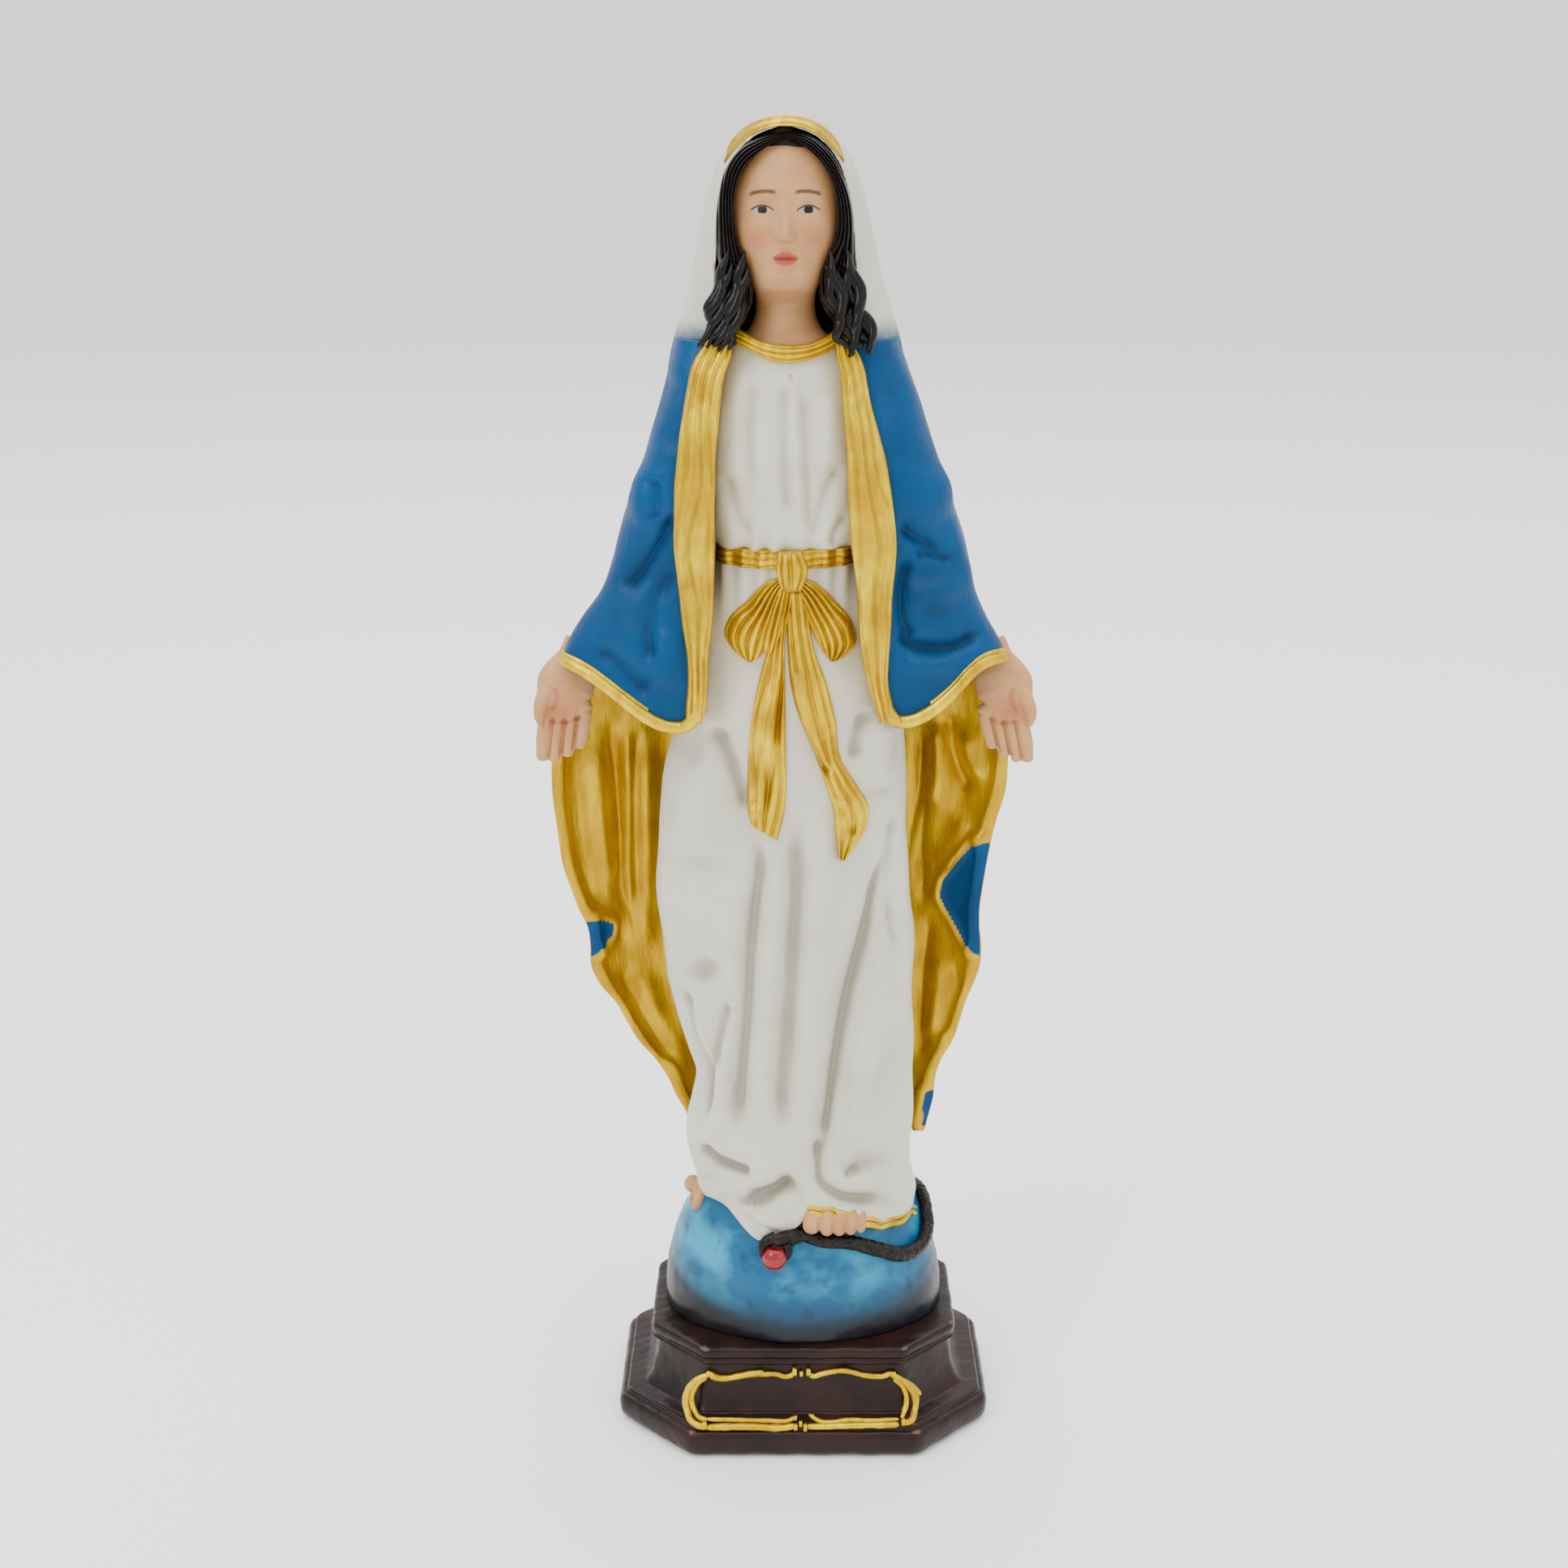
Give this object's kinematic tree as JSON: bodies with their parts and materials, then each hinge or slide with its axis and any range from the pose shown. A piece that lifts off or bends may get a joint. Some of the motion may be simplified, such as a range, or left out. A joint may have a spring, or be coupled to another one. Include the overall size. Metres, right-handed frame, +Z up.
{
  "type": "madonna statue",
  "caption": "Devotional figure in painted cast resin, open hands held low, standing on a globe with a serpent, on an octagonal plinth with a blank cartouche.",
  "frame": {"origin": "centre of the felt underside of the plinth, on the surface the statue stands on", "axes": "+Z up, the figure faces -Y, +X is the figure's left"},
  "size_m": [0.1112, 0.072, 0.305],
  "materials": {
    "plinth_brown": "cast resin-bound stone, dark brown lacquer",
    "globe_blue": "cast resin-bound stone, clouded blue paint",
    "serpent_black": "cast resin-bound stone, black paint with rubbed scales",
    "apple_red": "cast resin-bound stone, gloss red paint",
    "gown_white": "cast resin-bound stone, off-white satin paint",
    "mantle_blue": "cast resin-bound stone, blue satin paint",
    "gilding": "cast resin-bound stone, gold paint",
    "veil_white": "cast resin-bound stone, white paint",
    "skin": "cast resin-bound stone, flesh paint",
    "hair_dark": "cast resin-bound stone, dark gloss paint",
    "felt": "felt"
  },
  "bodies": {
    "root": {"plinth": "plinth_brown", "base_pad": "felt", "cartouche_frame": "gilding", "globe": "globe_blue", "serpent": "serpent_black", "apple": "apple_red", "gown": "gown_white", "foot_left": "skin", "foot_right": "skin", "hem_trim": "gilding", "belt": "gilding", "bow_knot": "gilding", "bow_loop_left": "gilding", "bow_loop_right": "gilding", "sash_tail_left": "gilding", "sash_tail_right": "gilding", "mantle_back": "mantle_blue", "mantle_lining": "gilding", "mantle_left": "mantle_blue", "mantle_right": "mantle_blue", "facing_left": "gilding", "facing_right": "gilding", "cuff_trim_left": "gilding", "cuff_trim_right": "gilding", "hand_left": "skin", "hand_right": "skin", "head": "skin", "hair": "hair_dark", "hair_lock_left": "hair_dark", "hair_lock_right": "hair_dark", "veil": "veil_white", "veil_band": "gilding", "collar": "gilding"}
  },
  "joints": []
}
